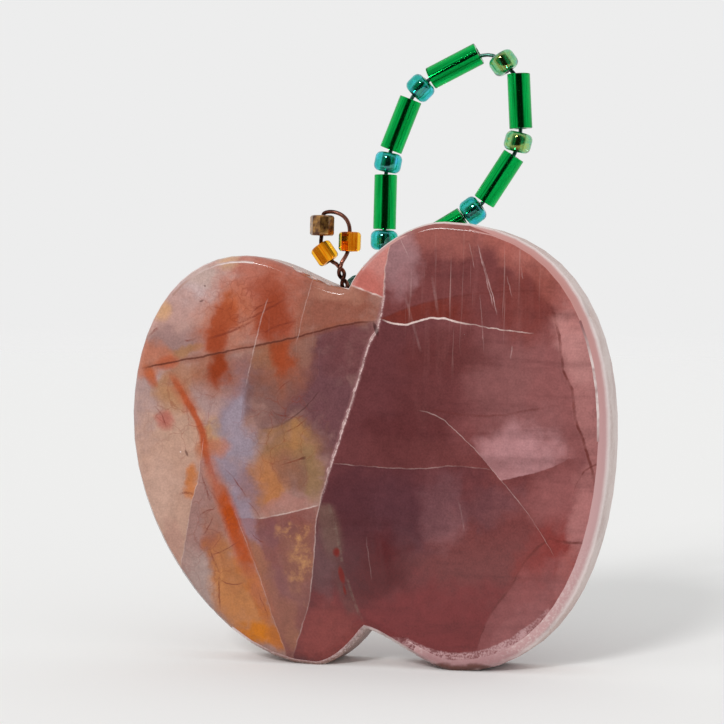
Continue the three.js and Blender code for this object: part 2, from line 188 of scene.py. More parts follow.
class StoneCoordinates:
    """The slab's own frame in millimetres, pushed about by two sizes of noise so that no edge is straight."""

    def __init__(self, tree, sway, ripple):
        place = add_node(tree, "TexCoord")
        self.tree = tree
        self.plain = add_node(
            tree,
            "Mapping",
            {
                "Vector": place.outputs["Object"],
                "Location": SLAB_ORIGIN,
                "Rotation": (-SLAB_LEAN, 0, 0),
                "Scale": (MM, MM, MM),
            },
            vector_type="TEXTURE",
        ).outputs[0]
        self.rippled = self.pushed(self.plain, grain=0.9, reach=ripple)
        self.swayed = self.pushed(self.rippled, grain=3.4, reach=sway)
        self.x = self.part(self.rippled, (1, 0, 0))
        self.z = self.part(self.rippled, (0, 0, 1))
        wisps = add_node(
            tree,
            "TexNoise",
            {"Vector": self.plain, "Scale": 0.6, "Detail": 3, "Roughness": 0.5, "Distortion": 0.5},
        )
        self.frayed = add_node(
            tree,
            "MapRange",
            {
                "Value": wisps.outputs["Fac"],
                "From Min": 0.25,
                "From Max": 0.75,
                "To Min": -0.7,
                "To Max": 0.7,
            },
        ).outputs[0]
        self.patchy = add_node(
            tree,
            "MapRange",
            {"Value": wisps.outputs["Fac"], "From Min": 0.35, "From Max": 0.6, "To Min": 0.25},
        ).outputs[0]

    def add(self, kind, inputs, **settings):
        """Adds a node to the stone's tree, and gives its first output."""
        return add_node(self.tree, kind, inputs, **settings).outputs[0]

    def part(self, vector, direction):
        """The part of a vector that lies along a direction."""
        dot = add_node(self.tree, "VectorMath", {0: vector, 1: direction}, operation="DOT_PRODUCT")
        return dot.outputs["Value"]

    def pushed(self, vector, grain, reach):
        """Coordinates moved by up to half of reach, in swirls about one grain across, all in millimetres."""
        noise = add_node(self.tree, "TexNoise", {"Vector": self.plain, "Scale": 1 / grain, "Detail": 4})
        centred = add_node(
            self.tree, "VectorMath", {0: noise.outputs["Color"], 1: (0.5, 0.5, 0.5)}, operation="SUBTRACT"
        )
        moved = add_node(
            self.tree,
            "VectorMath",
            {0: centred.outputs[0], 1: (2 * reach, 2 * reach, 2 * reach), 2: vector},
            operation="MULTIPLY_ADD",
        )
        return moved.outputs[0]

    def blotch(self, x, z, wide, tall, turn=0, soft=1.4):
        """A mask that fades out from a place on the face. wide and tall are half sizes, turn in degrees."""
        right, up = math.cos(math.radians(turn)), math.sin(math.radians(turn))
        place = self.swayed if max(wide, tall) > 1 else self.rippled
        offset = self.add("VectorMath", {0: place, 1: (x, 0, z)}, operation="SUBTRACT")
        along = self.part(offset, (right / wide, 0, up / wide))
        across = self.part(offset, (-up / tall, 0, right / tall))
        square = self.add("Math", {0: along, 1: along, 2: self.frayed}, operation="MULTIPLY_ADD")
        away = self.add("Math", {0: across, 1: across, 2: square}, operation="MULTIPLY_ADD")
        return self.add(
            "MapRange",
            {"Value": away, "From Min": (1 + soft / 2) ** 2, "From Max": (1 - soft / 2) ** 2},
            interpolation_type="SMOOTHSTEP",
        )

    def route(self, points, upright, smooth=True):
        """How far a place lies right of an upright line, or above a level one, and how far along it is."""
        along, across = (self.z, self.x) if upright else (self.x, self.z)
        pairs = sorted((z, x) if upright else (x, z) for x, z in points)
        first, last = pairs[0][0], pairs[-1][0]
        low = min(pair[1] for pair in pairs) - 1
        high = max(pair[1] for pair in pairs) + 1
        share = self.add("MapRange", {"Value": along, "From Min": first, "From Max": last})
        curve = add_node(self.tree, "FloatCurve", {"Value": share})
        dots = curve.mapping.curves[0].points
        spots = [((a - first) / (last - first), (c - low) / (high - low)) for a, c in pairs]
        dots[0].location = spots[0]
        dots[1].location = spots[-1]
        for spot in spots[1:-1]:
            dots.new(*spot)
        for dot in dots:
            dot.handle_type = "AUTO" if smooth else "VECTOR"
        curve.mapping.update()
        level = self.add("MapRange", {"Value": curve.outputs[0], "To Min": low, "To Max": high})
        beyond = self.add("Math", {0: across, 1: level}, operation="SUBTRACT")
        return beyond, share

    def beyond(self, route, soft):
        """A mask of what lies to the right of a route, or above it."""
        return self.add(
            "MapRange",
            {"Value": route[0], "From Min": -soft / 2, "From Max": soft / 2},
            interpolation_type="SMOOTHSTEP",
        )

    def line(self, route, width, taper=0.06):
        """A mask of the line itself, which thins out at its two ends."""
        beyond, share = route
        away = self.add("Math", {0: beyond}, operation="ABSOLUTE")
        near = self.add(
            "MapRange",
            {"Value": away, "From Min": 0.75 * width, "From Max": 0.2 * width},
            interpolation_type="SMOOTHSTEP",
        )
        rest = self.add("Math", {0: 1.0, 1: share}, operation="SUBTRACT")
        inside = self.add("Math", {0: share, 1: rest}, operation="MULTIPLY")
        return self.add("MapRange", {"Value": inside, "From Max": taper, "To Max": near})

    def beside(self, route, shift):
        """The same route, moved to the right or up."""
        moved = self.add("Math", {0: route[0], 1: shift}, operation="SUBTRACT")
        return moved, route[1]

    def settle(self, below):
        """Has later masks wait for the stone below, as Cycles has room for only some 200 masks at a time."""
        for name in ("rippled", "swayed"):
            waiting = add_node(
                self.tree,
                "VectorMath",
                {0: below, 1: (1e-9, 1e-9, 1e-9), 2: getattr(self, name)},
                operation="MULTIPLY_ADD",
            )
            setattr(self, name, waiting.outputs[0])
        self.x = self.part(self.rippled, (1, 0, 0))
        self.z = self.part(self.rippled, (0, 0, 1))

    def opposite(self, mask):
        """A mask of all that the other mask leaves out."""
        return self.add("Math", {0: 1.0, 1: mask}, operation="SUBTRACT")

    def tint(self, below, colour, strength, *masks):
        """Mixes a colour over what is below, where all of the masks meet."""
        factor = strength
        for mask in masks:
            factor = self.add("Math", {0: mask, 1: factor}, operation="MULTIPLY")
        below, above = (linear(tone) if isinstance(tone, str) else tone for tone in (below, colour))
        mixed = add_node(self.tree, "Mix", {0: factor, 6: below, 7: above}, data_type="RGBA")
        return mixed.outputs[2]

    def patches(self, below, rows, *masks, soft=1.4):
        """Tints blotches over what is below, inside the masks. A row is a colour, a strength and a blotch."""
        for colour, strength, *place in rows:
            below = self.tint(below, colour, strength, *masks, self.blotch(*place, soft=soft))
        return below


FEATHERED = 1.9  # softness of a patch that has no edge at all
polished_agate, tree = new_material("polished_agate")
stone = StoneCoordinates(tree, sway=2.2, ripple=0.16)

# Textures shared by the whole face: grain and mottling, level beds, upright hazes, scratches and pits
grain = add_node(tree, "TexNoise", {"Vector": stone.plain, "Scale": 4.5, "Detail": 2})
mottle = add_node(tree, "TexNoise", {"Vector": stone.plain, "Scale": 1.1, "Detail": 4, "Roughness": 0.6})
both = add_node(tree, "Math", {0: grain.outputs["Fac"], 1: mottle.outputs["Fac"]}, operation="ADD")
mottled = stone.add(
    "MapRange",
    {"Value": both.outputs[0], "From Min": 0.65, "From Max": 1.35, "To Min": 0.76, "To Max": 1.09},
)
masks = []
for lean, size, low, high, most in [
    (3, (0.05, 0.0, 0.55), 0.52, 0.75, 0.35),
    (12, (0.5, 0.0, 0.05), 0.52, 0.75, 0.4),
    (14, (2.4, 0.0, 0.05), 0.6, 0.76, 0.85),
]:
    stretched = add_node(
        tree, "Mapping", {"Vector": stone.plain, "Rotation": (0, math.radians(lean), 0), "Scale": size}
    )
    streaks = add_node(
        tree, "TexNoise", {"Vector": stretched.outputs[0], "Scale": 1.0, "Detail": 3, "Roughness": 0.6}
    )
    mask = stone.add(
        "MapRange", {"Value": streaks.outputs["Fac"], "From Min": low, "From Max": high, "To Max": most}
    )
    masks.append(mask)
beds, hazes, scratched = masks
splintered = stone.add(
    "MapRange", {"Value": both.outputs[0], "From Min": 0.85, "From Max": 1.1, "To Min": 0.25}
)
spotted = stone.add("MapRange", {"Value": mottle.outputs["Fac"], "From Min": 0.44, "From Max": 0.66})
cells = add_node(tree, "TexVoronoi", {"Vector": stone.swayed, "Scale": 0.42}, feature="DISTANCE_TO_EDGE")
crazed = stone.add("MapRange", {"Value": cells.outputs["Distance"], "From Min": 0.035, "From Max": 0.01})
pits = add_node(tree, "TexVoronoi", {"Vector": stone.plain, "Scale": 0.2})
pitted = stone.add("MapRange", {"Value": pits.outputs["Distance"], "From Min": 0.022, "From Max": 0.012})

depth = stone.part(stone.plain, (0, 1, 0))
on_front = stone.add("MapRange", {"Value": depth, "From Min": 0.0, "From Max": -1.0})

# Healed fractures and veins, as points on the face in millimetres
main_crack = stone.route(
    [
        (2.3, 47.8), (1.6, 44.0), (1.5, 40.6), (1.2, 39.1), (0.8, 37.1), (-0.2, 35.3), (-1.7, 29.7),
        (-3.1, 25.0), (-4.1, 21.8), (-5.0, 18.4), (-5.5, 15.5), (-5.6, 11.5), (-6.1, 6.4), (-7.7, 0.8),
    ],
    upright=True,
    smooth=False,
)
dark_line = stone.route([(-26.2, 32.2), (-18, 34.0), (-9.9, 35.8), (-2.2, 37.8), (0.8, 38.2)], upright=False)
upper_break = stone.route([(-11.6, 40.5), (-12.7, 36.5), (-13.6, 32.2), (-14.0, 30.5)], upright=True)
notch_break = stone.route([(-6.3, 43.6), (-7.4, 39.5), (-8.2, 35.6)], upright=True)
peach_edge = stone.route(
    [(-18.5, 25.0), (-18.9, 21.8), (-19.1, 19.6), (-19.8, 17.4), (-20.5, 12.4), (-20.9, 9.8)],
    upright=True,
    smooth=False,
)
orange_vein = stone.route(
    [
        (-22.7, 32.2), (-21.3, 29.8), (-19.9, 27.6), (-18.8, 25.4), (-18.2, 22.6), (-17.4, 20.4),
        (-15.9, 17.4), (-14.7, 14.4), (-13.5, 11.4), (-11.6, 7.2), (-10.2, 4.2),
    ],
    upright=True,
)
orange_edge = stone.route(
    [(-15.0, 17.0), (-13.4, 13.2), (-11.6, 9.0), (-10.2, 5.1), (-8.6, 1.2)], upright=True
)
olive_floor = stone.route([(-12.2, 15.8), (-9.8, 16.3), (-7.6, 16.9), (-5.2, 17.6)], upright=False)
olive_top = stone.route(
    [(-12.2, 25.9), (-10.0, 26.3), (-8.4, 27.3), (-6.8, 28.7), (-5.4, 30.4)], upright=False
)
grey_vein = stone.route([(-4.9, 18.0), (-3.8, 14.6), (-3.1, 11.4), (-2.2, 8.6), (-0.6, 4.8)], upright=True)
facet_floor = stone.route([(-2.4, 42.2), (1.5, 40.8)], upright=False, smooth=False)
facet_side = stone.route([(-2.7, 40.0), (-2.7, 48.0)], upright=True, smooth=False)
top_crack = stone.route(
    [(1.3, 38.4), (3.6, 37.9), (5.4, 38.3), (7.7, 38.7), (10.1, 38.3), (15.6, 37.5), (18.5, 37.3)],
    upright=False,
)
wedge_top = stone.route([(1.6, 38.6), (4.2, 39.7), (8, 40.8), (13, 41.6), (19, 42.0)], upright=False)
level_break = stone.route(
    [(-4.0, 22.3), (2.1, 22.0), (6.0, 22.0), (10.0, 22.4), (14.2, 22.1)], upright=False
)
fan_line = stone.route(
    [(5.6, 28.4), (8, 27.8), (10.1, 26.2), (12.1, 24.4), (14.2, 22.1), (18, 17.8), (21.5, 12.5)],
    upright=False,
)
facet_line = stone.route([(13.6, 20.4), (15.4, 21.0), (20.0, 22.3), (22.6, 23.6)], upright=False)
right_vein = stone.route(
    [
        (20.2, 40.6), (21.3, 37.0), (21.7, 33.4), (22.9, 31.0), (23.2, 28.0), (24.2, 25.6), (25.2, 22.6),
        (25.8, 20.0),
    ],
    upright=True,
    smooth=False,
)
vein_branch = stone.route([(23.2, 19.5), (23.6, 21.0), (24.6, 22.4), (26.2, 23.2)], upright=False)
low_break = stone.route([(12.9, 2.2), (14.4, 6.2), (16.6, 9.4), (18.4, 12.6), (21.0, 14.9)], upright=False)
rose_line = stone.route([(20.4, 14.9), (22.0, 14.5), (25.4, 14.6)], upright=False)
bed_line = stone.route([(7.0, 28.6), (14.2, 28.1), (18.0, 28.8), (22.6, 29.6)], upright=False)
foot_edge = stone.route(
    [(5.2, 3.2), (7, 2.4), (9, 1.9), (11, 1.8), (13, 2.1), (15.5, 3.0), (18, 4.7), (19.6, 6.0), (21, 7.6)],
    upright=False,
)

# Left of the main crack: pale, rusty and lavender patches, laid over one another from the broad to the small.
# A row is a colour, how strong it is, and its place, half width, half height and turn.
left = linear("#a68076")
above_dark = stone.beyond(dark_line, 0.5)
below_dark = stone.opposite(above_dark)
right_of_break = stone.beyond(upper_break, 0.8)
left_of_peach = stone.opposite(stone.beyond(peach_edge, 0.12))
right_of_orange = stone.beyond(orange_edge, 0.35)
under_olive = stone.opposite(stone.beyond(olive_floor, 0.15))
under_curve = stone.opposite(stone.beyond(olive_top, 0.7))
left = stone.patches(left, [
    ("#bda29a", 1.0, -20.0, 42.6, 7.0, 5.0),
    ("#bfa5a4", 0.8, -20.6, 40.0, 3.0, 1.6, 10),
    ("#b58d84", 0.9, -22.8, 38.2, 3.0, 2.2),
    ("#957470", 0.9, -22.0, 35.4, 4.0, 1.2, 10),
    ("#b47061", 0.95, -13.2, 42.4, 3.4, 3.6),
    ("#a96556", 0.8, -9.0, 43.4, 3.0, 1.6, -25),
    ("#8f5647", 1.0, -4.4, 39.6, 4.2, 3.4),
    ("#8a5d4f", 0.7, -7.6, 38.0, 0.9, 3.0, -10),
    ("#a87260", 0.8, -4.2, 41.3, 2.0, 0.9, -12),
    ("#c7a07f", 0.8, -16.3, 44.8, 0.9, 1.0),
    ("#c9996f", 0.8, -23.9, 38.8, 0.9, 0.9, 30),
    ("#a0714c", 0.8, -21.6, 34.4, 1.6, 0.6, 12),
], above_dark)
stone.settle(left)
left = stone.patches(left, [
    ("#aa5c46", 0.6, -11.4, 40.0, 3.0, 3.8),
    ("#9c4a34", 0.8, -11.4, 41.2, 1.5, 1.1, -20),
    ("#933f27", 0.95, -10.9, 38.0, 1.4, 2.2, 10),
    ("#b3674a", 0.65, -16.7, 37.4, 2.3, 3.2, -20),
    ("#b0562f", 0.9, -16.6, 38.8, 0.9, 1.4, -20),
    ("#a44e31", 1.0, -17.2, 36.8, 1.2, 2.0, -20),
    ("#984328", 0.9, -17.5, 35.2, 1.2, 1.3),
], above_dark, soft=FEATHERED)
for x, z, wide, tall in [(-17.0, 36.8, 1.3, 2.6), (-11.2, 39.4, 1.6, 3.2)]:
    left = stone.tint(left, "#7c3722", 0.35, spotted, stone.blotch(x, z, wide, tall, soft=FEATHERED))
stone.settle(left)
left = stone.patches(left, [
    ("#a88b86", 1.0, -25.4, 26.5, 2.6, 5.5),
    ("#a97956", 0.95, -22.4, 29.6, 1.5, 1.9),
    ("#a3735c", 0.9, -20.6, 31.6, 1.8, 1.6),
    ("#b4917a", 0.9, -21.0, 24.0, 2.6, 2.6),
    ("#b88f66", 0.8, -16.9, 25.7, 0.9, 1.2),
    ("#a58a88", 0.8, -18.0, 29.4, 1.6, 1.8),
    ("#7b5f66", 0.9, -14.6, 31.8, 1.4, 1.8),
    ("#8a7883", 1.0, -15.0, 28.2, 1.4, 3.4, -3),
    ("#94848f", 1.0, -14.9, 27.4, 0.9, 1.8),
    ("#958590", 1.0, -14.2, 24.2, 2.0, 2.0, 10),
    ("#8f7f8c", 0.9, -15.2, 20.6, 2.2, 1.3, -35),
    ("#87656a", 0.7, -13.2, 18.6, 1.6, 2.0, -30),
    ("#96838f", 0.95, -14.2, 16.6, 0.8, 2.2, 32),
], below_dark)
stone.settle(left)
left = stone.tint(left, "#76524d", 0.95, below_dark, right_of_break, stone.blotch(-9.0, 31.0, 5.0, 5.0))
left = stone.tint(left, "#6a4347", 1.0, below_dark, stone.blotch(-3.6, 29.6, 3.8, 8.5, 14))
left = stone.tint(left, "#6c3f41", 0.95, below_dark, stone.blotch(-1.8, 35.4, 2.6, 2.4, soft=FEATHERED))
left = stone.tint(left, "#8f7058", 0.6, below_dark, right_of_break, stone.blotch(-11.6, 34.2, 1.8, 1.3))
left = stone.patches(left, [
    ("#96583f", 0.7, -17.2, 32.9, 1.9, 2.8, -6),
    ("#8c3a1f", 1.0, -17.1, 33.0, 0.8, 1.8, -6),
    ("#985a41", 0.7, -10.0, 34.0, 2.4, 2.9, 8),
    ("#964428", 1.0, -10.0, 33.9, 1.1, 2.0, 8),
    ("#8a6256", 0.7, -7.4, 34.8, 0.8, 1.6),
], below_dark, soft=FEATHERED)
stone.settle(left)
left = stone.patches(left, [
    ("#93694a", 1.0, -8.8, 23.4, 3.0, 3.0, -20),
    ("#ab7049", 1.0, -10.6, 20.0, 1.7, 2.4, -10),
    ("#a5744a", 0.8, -8.4, 24.8, 1.2, 1.2),
    ("#8d6c4e", 0.9, -6.3, 21.4, 1.0, 2.8, 22),
    ("#7d544f", 0.55, -8.4, 20.8, 1.2, 2.2, 25),
    ("#a9746a", 0.7, -9.0, 17.4, 2.6, 0.7, 14),
], below_dark, under_curve)
stone.settle(left)
left = stone.tint(left, "#854f49", 1.0, under_olive, right_of_orange, stone.blotch(-8.5, 8.0, 6.0, 11.0))
left = stone.patches(left, [
    ("#95727a", 0.8, -13.2, 14.6, 0.8, 1.7, 24),
    ("#9e654c", 0.9, -12.0, 10.4, 0.9, 2.6, 24),
    ("#7b4d50", 0.7, -10.4, 14.6, 1.6, 1.0),
    ("#83565a", 0.5, -8.6, 8.4, 2.2, 1.2, -30),
    ("#97604f", 0.8, -9.0, 4.8, 1.3, 2.8, 22),
    ("#9c6650", 0.7, -7.6, 2.6, 1.0, 1.4),
], under_olive, right_of_orange)
left = stone.tint(left, "#94604c", 0.6, under_olive, stone.blotch(-7.4, 11.4, 1.5, 3.0, soft=FEATHERED))
for x, z, wide, tall in [(-7.4, 11.0, 1.1, 1.9), (-8.0, 14.4, 1.1, 0.7), (-5.4, 6.9, 0.7, 1.0)]:
    left = stone.tint(
        left, "#bf8a58", 0.65, under_olive, spotted, stone.blotch(x, z, wide, tall, soft=FEATHERED)
    )
stone.settle(left)
left_of_orange = stone.opposite(right_of_orange)
left = stone.patches(left, [
    ("#9d766f", 1.0, -18.5, 14.0, 2.2, 6.5),
    ("#aa9089", 0.95, -18.4, 8.6, 1.5, 2.6, 25),
    ("#9a543c", 0.95, -16.6, 12.0, 1.2, 2.6, 10),
    ("#9c6a5a", 0.7, -17.0, 15.6, 1.2, 1.6, 10),
    ("#bd7a48", 1.0, -14.4, 7.4, 2.2, 4.2, 22),
    ("#a9693f", 0.8, -14.8, 10.8, 0.9, 2.6, 15),
    ("#b8672c", 0.9, -12.2, 8.0, 0.8, 3.4, 24),
    ("#cb740f", 1.0, -11.2, 2.9, 2.4, 1.1, -15),
    ("#b0642f", 0.8, -9.8, 2.6, 0.9, 1.6, 20),
], left_of_orange)
stone.settle(left)
left = stone.tint(left, "#ba9381", 1.0, left_of_peach, stone.blotch(-23.0, 15.0, 5.0, 9.5))
left = stone.patches(left, [
    ("#c09c8c", 0.7, -23.6, 19.0, 1.6, 3.0),
    ("#ae8274", 0.7, -22.0, 12.0, 1.2, 2.6, 10),
    ("#bd7446", 0.95, -19.9, 19.8, 0.7, 1.5, -8),
], left_of_peach)
left = stone.patches(left, [
    ("#b36c52", 0.8, -25.4, 33.5, 1.6, 1.2, 10),
    ("#b0562f", 0.8, -24.9, 31.4, 0.4, 0.9, 25),
    ("#b05a3c", 0.8, -23.0, 33.0, 0.9, 0.5, 10),
    ("#a9564c", 0.75, -23.1, 26.5, 0.7, 0.8, 40),
    ("#b9642f", 0.5, -17.4, 23.4, 1.2, 1.0, 15),
], soft=FEATHERED)
stone.settle(left)
left = stone.tint(left, "#b0664a", 0.6, stone.line(orange_vein, 2.0), stone.patchy)
left = stone.tint(
    left, "#a94a27", 0.9, stone.line(orange_vein, 0.85), stone.blotch(-19.6, 27.0, 1.8, 5.5, 25)
)
left = stone.tint(
    left, "#ad4815", 1.0, stone.line(orange_vein, 1.9), stone.blotch(-15.0, 14.8, 1.5, 4.0, 24)
)
left = stone.tint(left, "#84452f", 0.45, stone.line(dark_line, 0.9), stone.patchy)
left = stone.tint(left, "#5a2a21", 0.8, stone.line(dark_line, 0.22))
left = stone.tint(left, "#4f302d", 0.6, stone.line(olive_top, 0.22), stone.patchy)
left = stone.patches(left, [
    ("#762e20", 0.4, -21.0, 27.0, 3.5, 4.0),
    ("#762e20", 0.4, -17.6, 14.0, 2.4, 6.0),
    ("#762e20", 0.4, -10.0, 25.5, 3.6, 5.0),
    ("#762e20", 0.4, -14.0, 39.5, 5.0, 3.5),
], crazed, splintered)
left = stone.patches(left, [
    ("#4f2a25", 0.6, -20.5, 22.9, 0.1, 0.26, 20),
    ("#4f2a25", 0.6, -18.9, 41.7, 0.1, 0.1, 20),
    ("#4f2a25", 0.6, -19.2, 40.0, 0.2, 0.08, 20),
    ("#4f2a25", 0.6, -7.3, 22.7, 0.35, 0.14, 20),
])
stone.settle(left)

# Fine rusty hair lines: how wide, and the places that each one joins
for width, *places in [
    (0.3, (-25.3, 35.9), (-24.6, 36.5), (-24.0, 36.9)),
    (0.22, (-21.1, 35.5), (-20.5, 35.5), (-19.6, 35.9)),
    (0.26, (-21.4, 18.2), (-20.4, 18.5), (-19.4, 18.3)),
    (0.3, (-18.6, 35.7), (-15.6, 36.7), (-12.6, 38.3)),
    (0.26, (-15.4, 37.3), (-12.4, 38.8), (-9.0, 40.8)),
    (0.2, (-13.6, 38.7), (-12.2, 39.7), (-10.6, 40.2)),
    (0.2, (-12.2, 36.4), (-10.4, 37.4), (-8.0, 38.0)),
    (0.16, (-10.8, 29.4), (-9.8, 30.6), (-8.6, 31.4)),
    (0.16, (-11.0, 28.2), (-9.8, 27.4), (-8.6, 27.6)),
    (0.16, (-9.6, 25.4), (-8.0, 26.2), (-6.6, 27.4)),
    (0.16, (-24.4, 28.2), (-23.4, 27.0), (-22.9, 25.6)),
    (0.16, (-18.8, 20.8), (-18.2, 19.2), (-17.6, 17.4)),
    (0.18, (-19.0, 15.8), (-18.2, 16.4), (-17.0, 16.7)),
    (0.18, (-18.4, 13.6), (-17.8, 14.6), (-17.2, 16.0)),
    (0.2, (-17.7, 12.4), (-17.0, 11.0), (-16.4, 9.6)),
    (0.2, (-16.5, 9.6), (-16.3, 7.6), (-16.2, 5.4)),
    (0.16, (-17.4, 11.6), (-15.8, 12.2), (-14.0, 13.4)),
    (0.16, (-16.4, 8.9), (-15.0, 8.4), (-13.4, 8.7)),
    (0.18, (-16.2, 21.4), (-14.8, 20.0), (-13.4, 18.0)),
    (0.16, (-13.6, 17.9), (-12.6, 17.0), (-11.8, 15.6)),
    (0.16, (-13.0, 14.6), (-12.2, 13.6), (-11.2, 13.2)),
    (0.16, (-9.8, 21.9), (-8.4, 22.3), (-6.6, 23.1)),
    (0.14, (-12.0, 7.8), (-11.2, 6.2), (-10.6, 4.6)),
]:
    upright = abs(places[-1][1] - places[0][1]) > abs(places[-1][0] - places[0][0])
    hair = stone.route(places, upright)
    left = stone.tint(left, "#6f2d22", 0.65, stone.line(hair, width, taper=0.2), splintered)

# Right of the main crack: dusty rose, darkest in the middle and pinker towards the edges
stone.settle(left)
right = linear("#653638")
above_top_crack = stone.beyond(top_crack, 0.2)
right = stone.patches(right, [
    ("#7b4646", 1.0, 14.0, 30.0, 6.0, 9.0),
    ("#8b5453", 1.0, 20.5, 28.0, 3.6, 15.0),
    ("#783f3e", 1.0, 15.0, 13.0, 7.0, 9.0),
    ("#7c3435", 1.0, 8.0, 4.0, 11.0, 3.8),
    ("#8a3a36", 1.0, 21.5, 11.0, 2.6, 5.5, -25),
    ("#5f383e", 0.9, 3.0, 16.5, 4.0, 3.0),
    ("#5c2527", 0.9, 1.0, 11.2, 3.0, 2.6),
    ("#8b5d60", 0.9, 9.0, 17.2, 1.8, 2.8, 10),
    ("#955a59", 0.8, 21.6, 19.2, 2.4, 2.0),
    ("#805356", 0.6, 14.6, 18.4, 2.2, 1.4),
    ("#865655", 0.6, 14.8, 32.0, 2.8, 3.8),
    ("#8a5a5a", 0.6, 17.4, 26.4, 3.0, 2.0, 20),
    ("#5f2d2c", 0.7, 8.6, 34.8, 3.6, 1.8, 5),
    ("#5b3135", 0.9, -1.6, 15.6, 2.0, 4.0),
    ("#8a423e", 0.95, -3.8, 2.8, 3.2, 2.4),
    ("#6c4a4c", 0.7, -4.6, 12.0, 0.7, 3.6, 4),
    ("#582a2b", 0.7, 5.0, 25.2, 4.0, 2.2),
    ("#5a2b2c", 0.6, 7.0, 29.6, 3.0, 2.8),
    ("#a45f5b", 0.8, 22.9, 11.6, 0.9, 2.8, -25),
    ("#a06060", 0.7, 18.0, 5.4, 0.9, 3.4, -42),
], soft=FEATHERED)
stone.settle(right)
right = stone.patches(right, [
    ("#733d3c", 1.0, 9.5, 42.0, 9.0, 4.2),
    ("#95564f", 1.0, 7.0, 47.8, 5.6, 1.5),
    ("#a15c53", 1.0, 16.9, 45.8, 4.2, 1.4, -35),
    ("#a27a7d", 0.75, 3.0, 45.0, 1.7, 2.4),
    ("#8d5c5e", 0.4, 3.6, 42.4, 0.9, 1.4),
    ("#b26e64", 0.85, 19.8, 43.2, 1.1, 3.2, 45),
    ("#b8685f", 0.7, 22.0, 39.8, 0.9, 2.2, 25),
], above_top_crack, soft=FEATHERED)
stone.settle(right)
right = stone.tint(right, "#77362f", 0.7, stone.blotch(18.2, 40.8, 2.8, 3.2, soft=FEATHERED))
below_wedge = stone.opposite(stone.beyond(wedge_top, 0.3))
right = stone.tint(
    right, "#702c22", 0.8, above_top_crack, below_wedge, stone.blotch(4.6, 39.2, 4.4, 2.6, soft=FEATHERED)
)
below_level = stone.opposite(stone.beyond(level_break, 0.12))
right = stone.tint(right, "#563036", 0.55, below_level, stone.blotch(4.0, 19.4, 9.0, 3.6))
right = stone.tint(right, "#7a4442", 0.2, stone.beyond(level_break, 0.12), stone.blotch(5.0, 23.4, 8.0, 1.6))
above_fan = stone.beyond(fan_line, 0.15)
above_facet = stone.beyond(facet_line, 0.15)
# Painted reflection: a fracture facet between the fan line and the facet line is painted light pink for the
# light it mirrors, and darker in one corner.
right = stone.tint(
    right, "#b28082", 0.95, above_fan, above_facet, stone.blotch(16.4, 23.2, 3.6, 2.4, 18, soft=FEATHERED)
)
right = stone.tint(right, "#9a6869", 0.5, above_fan, above_facet, stone.blotch(14.6, 21.9, 1.2, 1.0))
below_low = stone.opposite(stone.beyond(low_break, 0.9))
right = stone.tint(right, "#945959", 0.65, below_low, stone.blotch(17.5, 6.0, 2.4, 6.0, -40))
right_of_vein = stone.beyond(right_vein, 0.9)
right = stone.tint(
    right, "#ab7370", 0.65, right_of_vein, stone.blotch(24.2, 30.4, 2.8, 8.0, 10, soft=FEATHERED)
)
right = stone.tint(right, "#bd8682", 0.6, stone.blotch(23.2, 35.6, 1.4, 3.0, 20, soft=FEATHERED))
right = stone.tint(right, "#9c6462", 0.9, stone.blotch(25.4, 19.5, 1.6, 5.0, -10))
right = stone.tint(right, "#a96e6c", 0.95, stone.blotch(24.0, 17.2, 1.2, 2.4, -15))
stone.settle(right)
for route, width, strength in [
    (right_vein, 0.32, 0.8),
    (vein_branch, 0.24, 0.7),
    (low_break, 0.4, 0.5),
    (rose_line, 0.3, 0.7),
    (bed_line, 0.25, 0.35),
    (wedge_top, 0.2, 0.4),
]:
    right = stone.tint(right, "#622c27", strength, stone.line(route, width), stone.patchy)
right = stone.tint(
    right, "#75584f", 0.8, stone.line(grey_vein, 2.4), stone.blotch(-4.3, 16.4, 1.2, 2.8, 14, soft=FEATHERED)
)
right = stone.tint(right, "#6b4c46", 0.35, stone.line(grey_vein, 1.6), stone.patchy)
right = stone.tint(right, "#7d6c60", 0.5, stone.line(stone.beside(grey_vein, 0.7), 0.35), spotted)
for x, z, wide, tall in [(-3.05, 12.4, 0.3, 0.4), (-2.45, 9.9, 0.22, 0.75), (-2.05, 8.2, 0.13, 0.4)]:
    right = stone.tint(right, "#771d15", 0.95, stone.blotch(x, z, wide, tall, 15))
stone.settle(right)

# Faint beds lie nearly level in the rose stone, and the light left by the polisher stands nearly upright.
right = stone.tint(right, "#4c2527", 1.0, beds)
right = stone.tint(right, "#94605e", 0.8, hazes, stone.blotch(11.0, 38.0, 8.0, 9.0))
on_foot = stone.opposite(stone.beyond(foot_edge, 0.3))
right = stone.tint(right, "#c09798", 0.95, on_front, on_foot, splintered, stone.blotch(13.0, 3.0, 7.5, 4.4))
stone.settle(right)

# A fracture facet under the notch mirrors pink light.
right_of_main = stone.beyond(main_crack, 0.12)
colour = stone.tint(left, right, 1.0, right_of_main)
in_facet = stone.tint("#c07d75", "#b6655b", 0.9, stone.blotch(0.4, 41.7, 2.2, 1.6, -20))
colour = stone.tint(
    colour,
    in_facet,
    1.0,
    stone.opposite(right_of_main),
    stone.beyond(facet_floor, 0.1),
    stone.beyond(facet_side, 0.3),
)
stone.settle(colour)

